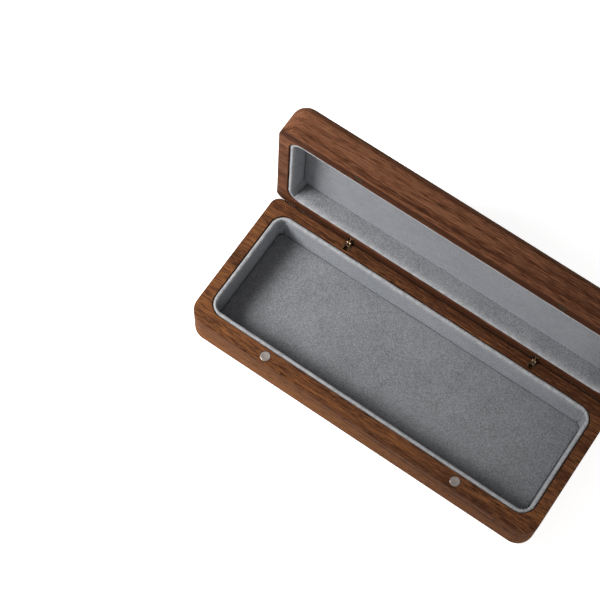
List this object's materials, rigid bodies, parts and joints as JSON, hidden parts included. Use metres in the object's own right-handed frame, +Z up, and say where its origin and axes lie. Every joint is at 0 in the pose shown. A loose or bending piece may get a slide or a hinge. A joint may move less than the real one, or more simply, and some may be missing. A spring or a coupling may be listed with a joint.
{
  "type": "hinged eyeglasses case",
  "caption": "Shallow rectangular walnut eyeglasses case with a hinged lid, suede-lined cavities in both halves and disc magnets in the front rims; stored open.",
  "frame": {"origin": "centre of the base's underside", "axes": "+X along the case, hinges at +Y, magnets at -Y, +Z up from the surface it stands on"},
  "size_m": [0.17, 0.0828, 0.0888],
  "materials": {
    "walnut": "oiled, satin, grain along X",
    "suede": "short-napped grey microsuede",
    "card": "grey board",
    "foam": "soft foam sheet",
    "nickel": "nickel plate, satin",
    "brass": "polished brass"
  },
  "bodies": {
    "base": {"base_barrel_left": "brass", "base_barrel_right": "brass", "base_hinge_pin_left": "brass", "base_hinge_pin_right": "brass", "base_magnet_left": "nickel", "base_magnet_right": "nickel", "base_panel_card": "card", "base_panel_foam": "foam", "base_panel_suede": "suede", "base_shell": "walnut", "base_wall_card": "card", "base_wall_foam": "foam", "base_wall_suede": "suede"},
    "lid": {"lid_barrel_left": "brass", "lid_barrel_right": "brass", "lid_hinge_pin_left": "brass", "lid_hinge_pin_right": "brass", "lid_magnet_left": "nickel", "lid_magnet_right": "nickel", "lid_panel_card": "card", "lid_panel_foam": "foam", "lid_panel_suede": "suede", "lid_shell": "walnut", "lid_wall_card": "card", "lid_wall_foam": "foam", "lid_wall_suede": "suede"},
    "outer_link_left": {"hinge_outer_leaves_left": "brass", "hinge_middle_pin_left": "brass"},
    "inner_link_left": {"hinge_inner_leaf_left": "brass"},
    "outer_link_right": {"hinge_outer_leaves_right": "brass", "hinge_middle_pin_right": "brass"},
    "inner_link_right": {"hinge_inner_leaf_right": "brass"}
  },
  "joints": [
    {"name": "lid_hinge", "type": "hinge", "parent": "base", "child": "lid", "pos_m": [0, 0.03325, 0.02231], "axis": [-1, 0, 0], "range_deg": [-90, 0]},
    {"name": "outer_link_pivot_left", "type": "hinge", "parent": "base", "child": "outer_link_left", "pos_m": [-0.0465, 0.0314, 0.02151], "axis": [-1, 0, 0], "range_deg": [-90, 0]},
    {"name": "inner_link_pivot_left", "type": "hinge", "parent": "lid", "child": "inner_link_left", "pos_m": [-0.0465, 0.03405, 0.02416], "axis": [-1, 0, 0], "range_deg": [0, 90]},
    {"name": "outer_link_pivot_right", "type": "hinge", "parent": "base", "child": "outer_link_right", "pos_m": [0.0465, 0.0314, 0.02151], "axis": [-1, 0, 0], "range_deg": [-90, 0]},
    {"name": "inner_link_pivot_right", "type": "hinge", "parent": "lid", "child": "inner_link_right", "pos_m": [0.0465, 0.03405, 0.02416], "axis": [-1, 0, 0], "range_deg": [0, 90]}
  ],
  "couplings": [
    {"joint": "outer_link_pivot_left", "follows": "lid_hinge", "ratio": 1},
    {"joint": "inner_link_pivot_left", "follows": "lid_hinge", "ratio": -1},
    {"joint": "outer_link_pivot_right", "follows": "lid_hinge", "ratio": 1},
    {"joint": "inner_link_pivot_right", "follows": "lid_hinge", "ratio": -1}
  ]
}
